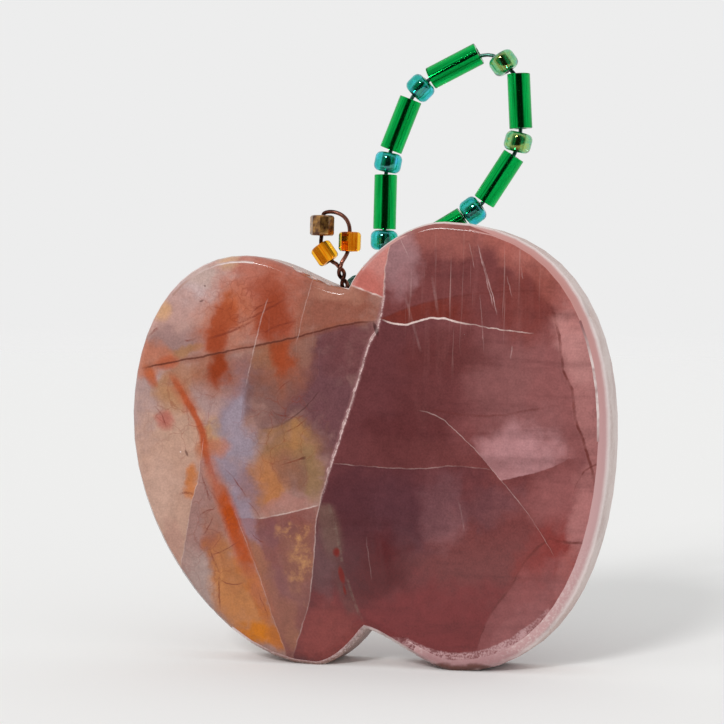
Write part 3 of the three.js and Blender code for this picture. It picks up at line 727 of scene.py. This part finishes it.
# Chalky fractures: the main one is open and splintered from the notch to half way down, the rest are closed.
splinters = stone.blotch(-1.4, 30.6, 2.6, 9.0, -17)
colour = stone.tint(colour, "#8f6163", 0.6, stone.line(main_crack, 0.6), splinters)
for shift, width, broken in ((-0.12, 0.1, spotted), (0.1, 0.18, splintered)):
    strand = stone.line(stone.beside(main_crack, shift), width)
    colour = stone.tint(colour, "#d6b9b6", 0.9, strand, splinters, broken)
colour = stone.tint(colour, "#3c1f20", 0.8, stone.blotch(0.75, 37.3, 0.16, 0.6, 20))
colour = stone.tint(colour, "#e2cbc6", 0.95, stone.line(top_crack, 0.2), stone.blotch(5.0, 38.4, 4.0, 2.0))
for route, width, strength in [
    (main_crack, 0.14, 0.4),
    (top_crack, 0.13, 0.65),
    (upper_break, 0.14, 0.5),
    (notch_break, 0.1, 0.28),
    (facet_floor, 0.2, 0.85),
    (level_break, 0.12, 0.22),
    (fan_line, 0.12, 0.32),
    (olive_floor, 0.16, 0.6),
    (orange_edge, 0.1, 0.25),
    (peach_edge, 0.1, 0.3),
]:
    colour = stone.tint(colour, "#dcc2bb", strength, stone.line(route, width), stone.patchy)
stone.settle(colour)

# Long scratches over the right lobe: how wide and strong, and where each one starts and ends
for width, strength, *places in [
    (0.13, 0.45, (11.95, 47.0), (13.9, 39.9)),
    (0.08, 0.3, (12.3, 46.0), (14.15, 40.0)),
    (0.08, 0.25, (12.7, 44.6), (14.35, 39.4)),
    (0.1, 0.25, (10.9, 47.2), (11.7, 44.2)),
    (0.1, 0.35, (13.2, 43.4), (14.3, 39.2)),
    (0.1, 0.2, (12.3, 41.6), (12.9, 35.0)),
    (0.1, 0.25, (15.2, 43.6), (15.9, 41.2)),
    (0.1, 0.25, (16.8, 44.6), (17.1, 43.2)),
    (0.14, 0.35, (16.1, 35.9), (15.9, 34.4)),
    (0.3, 0.12, (3.9, 41.2), (5.9, 34.8)),
    (0.3, 0.1, (6.9, 43.4), (7.8, 38.6)),
    (0.1, 0.35, (3.2, 47.5), (4.3, 45.2)),
    (0.16, 0.14, (10.5, 18.8), (11.3, 15.2)),
    (0.12, 0.14, (0.2, 14.4), (1.0, 9.4)),
]:
    scratch = stone.line(stone.route(places, upright=True), width, taper=0.15)
    colour = stone.tint(colour, "#d2b4b0", strength, on_front, scratch, stone.patchy)

# The stone's colour is darker towards its feet.
darker_towards_feet = stone.add("MapRange", {"Value": stone.z, "From Min": 5.0, "From Max": 24.0, "To Min": 0.82})

# Mottling about 1 mm across, grain about 0.2 mm, and long polishing scratches that lean a little to the left
colour = add_node(
    tree, "Mix", {0: 1.0, 6: colour, 7: mottled}, data_type="RGBA", blend_type="MULTIPLY"
).outputs[2]
colour = add_node(
    tree, "Mix", {0: 1.0, 6: colour, 7: darker_towards_feet}, data_type="RGBA", blend_type="MULTIPLY"
).outputs[2]
for strength, x, z, wide, tall in [(0.6, 12.0, 41.0, 6.0, 6.0), (0.4, -6.5, 38.5, 3.2, 4.5)]:
    colour = stone.tint(colour, "#c9aaa4", strength, on_front, scratched, stone.blotch(x, z, wide, tall))
colour = stone.tint(colour, "#e0cfca", 0.8, pitted)

shine = add_node(tree, "MapRange", {"Value": grain.outputs["Fac"], "To Min": 0.06, "To Max": 0.16})
surface = add_node(
    tree,
    "BsdfPrincipled",
    {"Base Color": colour, "Roughness": shine.outputs[0], "IOR": AGATE_IOR, "Specular IOR Level": 0.25},
)
add_node(tree, "OutputMaterial", {"Surface": surface.outputs[0]})

# Stone slab: frosted rim and chipped edges
# The rim is only ground, not polished, so it scatters light: whitish pink, granular, warmer towards the feet,
# and darkened by painted contact shade along the bottom of the right foot.
# Where the edge is chipped or worn the stone is chalky.
frosted_agate, tree = new_material("frosted_agate")
stone = StoneCoordinates(tree, sway=0.8, ripple=0.2)
grit = add_node(tree, "TexNoise", {"Vector": stone.plain, "Scale": 3.2, "Detail": 4, "Roughness": 0.65})
depth = stone.part(stone.plain, (0, 1, 0))
on_edge = stone.add("MapRange", {"Value": depth, "From Min": -2.9, "From Max": -3.2})
on_break = stone.add("MapRange", {"Value": depth, "From Min": -3.25, "From Max": -3.75})
high = stone.add("MapRange", {"Value": stone.z, "From Min": 26.0, "From Max": 42.0})
smoother = stone.add("MapRange", {"Value": stone.z, "From Min": 6.0, "From Max": 16.0, "To Max": on_break})
speckle = stone.add("MapRange", {"Value": grit.outputs["Fac"], "From Min": 0.48, "From Max": 0.68})
colour = linear("#c4aba4")
colour = stone.patches(colour, [
    ("#c9b3a6", 0.9, -22.0, 36.0, 9.0, 12.0),
    ("#b79c90", 0.8, -22.0, 14.0, 9.0, 10.0),
    ("#d2c1bc", 0.95, 26.0, 30.0, 7.0, 16.0),
])
cloud = add_node(tree, "TexNoise", {"Vector": stone.plain, "Scale": 0.22, "Detail": 4, "Roughness": 0.6})
clouded = stone.add("MapRange", {"Value": cloud.outputs["Fac"], "From Min": 0.48, "From Max": 0.66})
colour = stone.tint(colour, "#a98781", 0.45, clouded)
colour = stone.tint(colour, "#dfd0ce", 0.85, on_edge)
colour = stone.patches(colour, [
    ("#84584a", 0.95, -7.0, 0.4, 5.5, 1.6),
    ("#8a665e", 0.7, -1.6, 2.4, 1.8, 1.6, 50),
])
# Painted light: the pale, granular rim at the foot notch lies in shade, so its colour is lifted to stand for
# light falling on it.
colour = stone.tint(colour, "#d8c0bc", 0.8, on_edge, speckle, stone.blotch(-1.2, 2.8, 2.4, 2.0))
rosy = stone.tint("#b88e8e", "#b6807a", 1.0, high)
colour = stone.tint(colour, rosy, 0.95, on_break)
colour = stone.tint(colour, "#e6dad6", 0.45, speckle, stone.opposite(smoother))
# A dusky band low on the right foot, and under it a dark line of painted contact shade where the foot meets
# the floor.
colour = stone.tint(colour, "#a07274", 0.8, stone.blotch(11.0, 0.8, 7.0, 1.2))
colour = stone.tint(colour, "#5c2c1e", 0.95, stone.blotch(11.0, 0.0, 8.0, 0.42))
rough = add_node(tree, "MapRange", {"Value": smoother, "To Min": 0.5, "To Max": 0.2})
raised = add_node(tree, "MapRange", {"Value": smoother, "To Min": 0.5, "To Max": 0.05})
bump = add_node(
    tree, "Bump", {"Height": grit.outputs["Fac"], "Strength": raised.outputs[0], "Distance": 0.12 * MM}
)
surface = add_node(
    tree,
    "BsdfPrincipled",
    {"Base Color": colour, "Roughness": rough.outputs[0], "IOR": AGATE_IOR, "Normal": bump.outputs[0]},
)
add_node(tree, "OutputMaterial", {"Surface": surface.outputs[0]})

# The crease round the front face is worn, and carries a painted highlight, most of all on the right shoulder
# and the top of the left lobe.
worn_agate_with_painted_highlight, tree = new_material("worn_agate_with_painted_highlight")
stone = StoneCoordinates(tree, sway=0.8, ripple=0.2)
colour = stone.tint(
    "#a07a70", "#855352", 1.0, stone.beyond(stone.route([(-3, 0), (0, 50)], upright=True), 6.0)
)
# Painted highlight: whitish patches on the crease of the right shoulder and the top of the left lobe stand
# for the light that the crease catches, laid over its wear.
for strength, x, z, wide, tall in [(0.75, 25.2, 31.5, 2.5, 4.5), (0.3, -18.0, 44.0, 5.0, 2.0)]:
    colour = stone.tint(colour, "#ecdfdb", strength, stone.blotch(x, z, wide, tall), stone.patchy)
surface = add_node(tree, "BsdfPrincipled", {"Base Color": colour, "Roughness": 0.3, "IOR": AGATE_IOR})
add_node(tree, "OutputMaterial", {"Surface": surface.outputs[0]})

chalky_agate, tree = new_material("chalky_agate")
stone = StoneCoordinates(tree, sway=0.5, ripple=0.2)
grit = add_node(tree, "TexNoise", {"Vector": stone.plain, "Scale": 2.5, "Detail": 4, "Roughness": 0.6})
colour = stone.tint(linear("#b08c84"), "#eaded9", 1.0, grit.outputs["Fac"])
bump = add_node(tree, "Bump", {"Height": grit.outputs["Fac"], "Strength": 0.6, "Distance": 0.1 * MM})
surface = add_node(
    tree,
    "BsdfPrincipled",
    {"Base Color": colour, "Roughness": 0.45, "IOR": AGATE_IOR, "Normal": bump.outputs[0]},
)
add_node(tree, "OutputMaterial", {"Surface": surface.outputs[0]})

for material in (polished_agate, frosted_agate, chalky_agate, worn_agate_with_painted_highlight):
    slab.data.materials.append(material)
chips.data.materials.append(chalky_agate)

RIM_FACING = 0.3  # the ground rim alone
EDGE_FACING = 0.8  # with the rounded edge in front of it
BREAK_FACING = 0.975  # with the broken edge too
CREASE_FACING = 0.9995  # all but the flat face
CREASE_DEPTH = 0.06
SMOOTH_UNDER = math.radians(32)


def facing(face):
    """How squarely a face of the slab looks out of the front, or out of the back."""
    return abs(face.normal.dot(slab_forward))


def on_rim(face):
    """The ground rim, and on the right side and under the feet the broken edge in front of it too."""
    at = slab_frame.inverted() @ face.center
    broken = at.x > 5 and at.z < 13 or at.x > 12
    edged = at.x > -1 or at.z < 4
    if at.y > 0 or not (broken or edged):
        return facing(face) < RIM_FACING
    return facing(face) < (BREAK_FACING if broken else EDGE_FACING)


def on_crease(face):
    """The crease on the right shoulder, and along the top of the left lobe, which is worn and carries a
    painted highlight.
    """
    at = slab_frame.inverted() @ face.center
    # worn holds the places that are worn and that also get the painted highlight.
    worn = at.x > 20 and 25 < at.z < 39 or -23 < at.x < -13 and at.z > 41
    return worn and at.y < SLAB_FRONT + CREASE_DEPTH and facing(face) < CREASE_FACING


bpy.ops.object.select_all(action="DESELECT")
slab.select_set(True)
bpy.context.view_layer.objects.active = slab
for slot, wanted in ((1, on_rim), (3, on_crease)):
    select_faces(slab, wanted)
    slab.active_material_index = slot
    bpy.ops.object.material_slot_assign()
    bpy.ops.object.mode_set(mode="OBJECT")
chipped = slab.modifiers.new("chipped", "BOOLEAN")
chipped.object = chips
chipped.operation = "DIFFERENCE"
chipped.solver = "EXACT"
chipped.use_self = True
chipped.material_mode = "TRANSFER"
bpy.ops.object.modifier_apply(modifier=chipped.name)
bpy.data.objects.remove(chips)
bpy.ops.object.shade_smooth_by_angle(angle=SMOOTH_UNDER)
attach(slab, "apple")
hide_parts("stone_slab")

# Glue
# Clear two-part epoxy, run into each drilled hole round its twist of wire and drawn up to it as it set. Only
# its top shows, a little cloudy with air.
epoxy, tree = new_material("clear_epoxy")
place = add_node(tree, "TexCoord")
bubbles = add_node(tree, "TexNoise", {"Vector": place.outputs["Object"], "Scale": 1.2 / MM, "Detail": 2})
cloudy = add_node(
    tree, "Mix", {0: bubbles.outputs["Fac"], 6: linear("#b89f86"), 7: linear("#efe6d6")}, data_type="RGBA"
)
surface = add_node(
    tree,
    "BsdfPrincipled",
    {"Base Color": cloudy.outputs[2], "Roughness": 0.15, "IOR": 1.55, "Transmission Weight": 0.4},
)
add_node(tree, "OutputMaterial", {"Surface": surface.outputs[0]})
for node in ("stem_glue", "leaf_glue"):
    plug = copy_of_node(node, node.replace("glue", "epoxy"))
    bpy.ops.mesh.bevel(offset=0.05 * MM, segments=2, affect="EDGES")
    bpy.ops.object.mode_set(mode="OBJECT")
    bpy.ops.object.shade_smooth_by_angle(angle=math.radians(50))
    plug.data.materials.append(epoxy)
    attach(plug, "apple")
    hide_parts(node)

# Wires
# Soft copper craft wire, half a millimetre thick, twisted with itself and led through the beads. The stem's
# is bare and has gone brown, and the leaf's has a green enamel.
WIRES = [
    ("stem_wire", "stem_strand", "copper_wire", "oxidised_copper", "#3d211a", "#a8705f"),
    ("leaf_wire", "leaf_strand", "green_wire", "green_enamelled_copper", "#16302b", "#4f7a6d"),
]
for node, name, slot, finish, dark, bright in WIRES:
    material, tree = new_material(finish)
    place = add_node(tree, "TexCoord")
    tarnish = add_node(tree, "TexNoise", {"Vector": place.outputs["Object"], "Scale": 0.7 / MM, "Detail": 4})
    clean = add_node(tree, "MapRange", {"Value": tarnish.outputs["Fac"], "From Min": 0.4, "From Max": 0.65})
    tone = add_node(tree, "Mix", {0: clean.outputs[0], 6: linear(dark), 7: linear(bright)}, data_type="RGBA")
    dull = add_node(tree, "MapRange", {"Value": tarnish.outputs["Fac"], "To Min": 0.45, "To Max": 0.15})
    surface = add_node(
        tree,
        "BsdfPrincipled",
        {"Base Color": tone.outputs[2], "Metallic": 1.0, "Roughness": dull.outputs[0]},
    )
    add_node(tree, "OutputMaterial", {"Surface": surface.outputs[0]})
    wire = copy_of_node(node, name)
    bpy.ops.mesh.tris_convert_to_quads()
    bpy.ops.object.mode_set(mode="OBJECT")
    rounded = wire.modifiers.new("rounded", "SUBSURF")
    rounded.levels = 2
    rounded.render_levels = 2
    bpy.ops.object.modifier_apply(modifier=rounded.name)
    bpy.ops.object.shade_smooth()
    wire.data.materials.append(material)
    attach(wire, "apple")
    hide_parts(node)

# Beads: shape
# Drawn glass cane, cut to length. The short beads are tumbled hot until their ends are round, and the long
# tubes keep their cut ends. The bore is left by the air blown into the cane.


def bored_bead(diameter, length, corner, bore, sides=48, bore_sides=32):
    """A bead at the origin along Z, bored through."""
    bpy.ops.object.select_all(action="DESELECT")
    bpy.ops.mesh.primitive_cylinder_add(vertices=sides, radius=diameter / 2, depth=length)
    bead = bpy.context.object
    select_faces(bead, lambda face: abs(face.normal.z) > 0.9)
    bpy.ops.mesh.region_to_loop()
    bpy.ops.mesh.bevel(offset=corner, segments=5, affect="EDGES")
    bpy.ops.object.mode_set(mode="OBJECT")
    bpy.ops.object.select_all(action="DESELECT")
    bpy.ops.mesh.primitive_cylinder_add(vertices=bore_sides, radius=bore / 2, depth=2 * length)
    drill = bpy.context.object
    bored = bead.modifiers.new("bored", "BOOLEAN")
    bored.object = drill
    bored.operation = "DIFFERENCE"
    bored.solver = "EXACT"
    bpy.context.view_layer.objects.active = bead
    bpy.ops.object.modifier_apply(modifier=bored.name)
    bpy.data.objects.remove(drill)
    return bead


def thread(model, bore, joint, name, glass, lining):
    """Copies a bead to its joint's place on the wire, with its own mesh, frame and two materials."""
    bead = bpy.data.objects.new(name, model.data.copy())
    bpy.context.collection.objects.link(bead)
    bpy.ops.object.select_all(action="DESELECT")
    bead.select_set(True)
    bpy.context.view_layer.objects.active = bead
    bead.data.materials.append(glass)
    bead.data.materials.append(lining)
    select_faces(bead, lambda face: face.center.xy.length < 0.51 * bore and abs(face.normal.z) < 0.5)
    bead.active_material_index = 1
    bpy.ops.object.material_slot_assign()
    bpy.ops.object.mode_set(mode="OBJECT")
    cane = bead.data.attributes.new("cane", "FLOAT_VECTOR", "POINT")
    cane.data.foreach_set("vector", [part for vertex in bead.data.vertices for part in vertex.co])
    turned = Vector(joint["axis"]).to_track_quat("Z", "Y").to_matrix().to_4x4()
    bead.matrix_world = Matrix.Translation(joint["pos_m"]) @ turned
    bpy.ops.object.transform_apply(location=True, rotation=True, scale=True)
    bpy.ops.object.shade_smooth_by_angle(angle=math.radians(35))
    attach(bead, joint["child"])
    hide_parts(joint["child"])


# Beads: lined glass
# Clear coloured glass with a metal film in its bore: the sides carry the light behind the bead, and the film
# mirrors the room in front of it. Both are streaky along the cane that they were drawn as.


def streaks_along_cane(tree, width, length):
    """Noise in streaks along a bead's own axis, with their size in millimetres."""
    place = add_node(tree, "Attribute", attribute_name="cane")
    stretched = add_node(
        tree,
        "Mapping",
        {"Vector": place.outputs["Vector"], "Scale": (1 / width / MM, 1 / width / MM, 1 / length / MM)},
    )
    noise = add_node(tree, "TexNoise", {"Vector": stretched.outputs[0], "Scale": 1.0, "Detail": 3})
    return noise.outputs["Fac"]


def metal_film(name, dark, bright):
    """A bright film, streaked from its dark to its bright tone."""
    material, tree = new_material(name)
    streaks = streaks_along_cane(tree, width=0.25, length=4)
    worn = add_node(tree, "MapRange", {"Value": streaks, "From Min": 0.4, "From Max": 0.6})
    tone = add_node(tree, "Mix", {0: worn.outputs[0], 6: linear(dark), 7: linear(bright)}, data_type="RGBA")
    surface = add_node(
        tree, "BsdfPrincipled", {"Base Color": tone.outputs[2], "Metallic": 1.0, "Roughness": 0.1}
    )
    add_node(tree, "OutputMaterial", {"Surface": surface.outputs[0]})
    return material


def tinted_glass(name, tones, width, length, film=0):
    """Transparent glass that wanders through its tones in streaks. film is a fired lustre's nanometres."""
    material, tree = new_material(name)
    streaks = streaks_along_cane(tree, width, length)
    ramp = add_node(tree, "ValToRGB", {"Fac": streaks})
    stops = ramp.color_ramp.elements
    while len(stops) < len(tones):
        stops.new(0.5)
    for k, tone in enumerate(tones):
        stops[k].position = 0.32 + 0.36 * k / (len(tones) - 1)
        stops[k].color = linear(tone)
    surface = add_node(
        tree,
        "BsdfPrincipled",
        {
            "Base Color": ramp.outputs["Color"],
            "Roughness": 0.03,
            "IOR": 1.45 if film else 1.25,
            "Specular Tint": (1, 1, 1, 1) if film else linear(tones[0]),
            "Transmission Weight": 1.0,
            "Thin Film Thickness": film,
            "Thin Film IOR": 2.0,
        },
    )
    add_node(tree, "OutputMaterial", {"Surface": surface.outputs[0]})
    return material


green_glass = tinted_glass("green_glass", ["#0abc58", "#049c42"], 0.4, 5)
amber_glass = tinted_glass("amber_glass", ["#ffc53a", "#ffb01c"], 0.4, 5)
TEAL_TONES = ["#1890d0", "#10b090", "#06986a", "#20bcb4", "#70ccf0"]
GOLD_TONES = ["#bca028", "#10985c", "#3cb888", "#98b848", "#20b0d0"]
teal_glass = tinted_glass("teal_iris_glass", TEAL_TONES, 1.1, 1.6, film=185)
gold_glass = tinted_glass("gold_iris_glass", GOLD_TONES, 0.8, 1.0, film=217)
silver_film = metal_film("silver_film", "#c8d2c8", "#f6f8f4")
gold_film = metal_film("gold_film", "#e0a040", "#fff4cc")
green_film = metal_film("green_film", "#1c8a68", "#7fe0c0")

# Beads: bronze
# One stem bead is opaque and cut to nine flats, with a film of brown and gold fired on. The film lies in
# patches under a thin clear coat.
bronze, tree = new_material("bronze_film")
place = add_node(tree, "Attribute", attribute_name="cane")
cloud = add_node(tree, "TexNoise", {"Vector": place.outputs["Vector"], "Scale": 1.6 / MM, "Detail": 4})
patches = add_node(tree, "MapRange", {"Value": cloud.outputs["Fac"], "From Min": 0.35, "From Max": 0.65})
tone = add_node(
    tree, "Mix", {0: patches.outputs[0], 6: linear("#56311a"), 7: linear("#c8924e")}, data_type="RGBA"
)
surface = add_node(
    tree,
    "BsdfPrincipled",
    {
        "Base Color": tone.outputs[2],
        "Metallic": 0.9,
        "Roughness": 0.3,
        "Coat Weight": 0.6,
        "Coat Roughness": 0.05,
    },
)
add_node(tree, "OutputMaterial", {"Surface": surface.outputs[0]})

# Beads: threading
# Four kinds, each modelled once and copied onto its stretches of wire, where it turns freely. Two of the seed
# beads on the leaf came out of the kiln golden.
SEED = {"diameter": 3.1 * MM, "length": 2.25 * MM, "corner": 0.7 * MM, "bore": 1.1 * MM}
BUGLE = {"diameter": 2.6 * MM, "length": 6.2 * MM, "corner": 0.1 * MM, "bore": 1.4 * MM}
AMBER = {"diameter": 2.5 * MM, "length": 2.2 * MM, "corner": 0.4 * MM, "bore": 1.5 * MM, "bore_sides": 4}
BRONZE = {"diameter": 2.8 * MM, "length": 2.3 * MM, "corner": 0.3 * MM, "bore": 1.0 * MM, "sides": 9}
GOLDEN = ("leaf_seed_bead_4", "leaf_seed_bead_5")
for kind, sizes, slot, glass, lining in [
    ("seed", SEED, "iris_glass", teal_glass, green_film),
    ("bugle", BUGLE, "green_glass", green_glass, silver_film),
    ("amber", AMBER, "amber_glass", amber_glass, gold_film),
    ("bronze", BRONZE, "bronze_glass", bronze, bronze),
]:
    model = bored_bead(**sizes)
    for joint in frame["joints"]:
        if kind in joint["child"]:
            finish, inside = (gold_glass, green_film) if joint["child"] in GOLDEN else (glass, lining)
            piece_name = joint["child"].replace("bead", "glass")
            thread(model, sizes["bore"], joint, piece_name, finish, inside)
    bpy.data.objects.remove(model)

# Floor, light and room
# A pale seamless floor under an even white room, with one low sun from the front that throws a soft shadow to
# the back and a little to the right. Behind the camera the room is dark, so gloss stays deep.
FLOOR_RADIUS = 0.7
SUN_TILT = math.radians(59)
SUN_TURN = math.radians(-13)
SUN_SPREAD = math.radians(13)
SUN_STRENGTH = 1.35
TOWARD_CAMERA = (0.18, -0.98, 0.05)
bpy.ops.object.select_all(action="DESELECT")
bpy.ops.mesh.primitive_circle_add(vertices=96, radius=FLOOR_RADIUS, fill_type="NGON", location=(0, 0, 0))
floor = bpy.context.object
floor.name = "floor"
paper, tree = new_material("pale_paper")
place = add_node(tree, "TexCoord")
away = add_node(tree, "VectorMath", {0: place.outputs["Object"]}, operation="LENGTH")
fade = add_node(
    tree,
    "MapRange",
    {"Value": away.outputs["Value"], "From Min": 0.25, "From Max": 0.6},
    interpolation_type="SMOOTHSTEP",
)
sheet = add_node(tree, "BsdfDiffuse", {"Color": linear("#f1f1f0")})
clear = add_node(tree, "BsdfTransparent")
surface = add_node(tree, "MixShader", {0: fade.outputs[0], 1: sheet.outputs[0], 2: clear.outputs[0]})
add_node(tree, "OutputMaterial", {"Surface": surface.outputs[0]})
floor.data.materials.append(paper)

bpy.ops.object.light_add(type="SUN", rotation=(SUN_TILT, 0, SUN_TURN))
sun = bpy.context.object
sun.name = "low_sun"
sun.data.energy = SUN_STRENGTH
sun.data.angle = SUN_SPREAD

room = bpy.data.worlds.new("white_room")
bpy.context.scene.world = room
room.use_nodes = True
tree = room.node_tree
tree.nodes.clear()
ray = add_node(tree, "LightPath")
place = add_node(tree, "TexCoord")
toward_front = add_node(
    tree, "VectorMath", {0: place.outputs["Generated"], 1: TOWARD_CAMERA}, operation="DOT_PRODUCT"
)
dark_front = add_node(
    tree,
    "MapRange",
    {"Value": toward_front.outputs["Value"], "From Min": 0.35, "From Max": 0.75},
    interpolation_type="SMOOTHSTEP",
)
mirrored = add_node(
    tree, "Mix", {0: dark_front.outputs[0], 6: linear("#f0f0f0"), 7: linear("#2a2a2a")}, data_type="RGBA"
)
lit = add_node(
    tree,
    "Mix",
    {0: ray.outputs["Is Diffuse Ray"], 6: mirrored.outputs[2], 7: (0.75, 0.75, 0.75, 1)},
    data_type="RGBA",
)
seen = add_node(
    tree, "Mix", {0: ray.outputs["Is Camera Ray"], 6: lit.outputs[2], 7: linear("#ededed")}, data_type="RGBA"
)
sky = add_node(tree, "Background", {"Color": seen.outputs[2], "Strength": 1.0})
add_node(tree, "OutputWorld", {"Surface": sky.outputs[0]})
bpy.context.scene.view_settings.view_transform = "Standard"
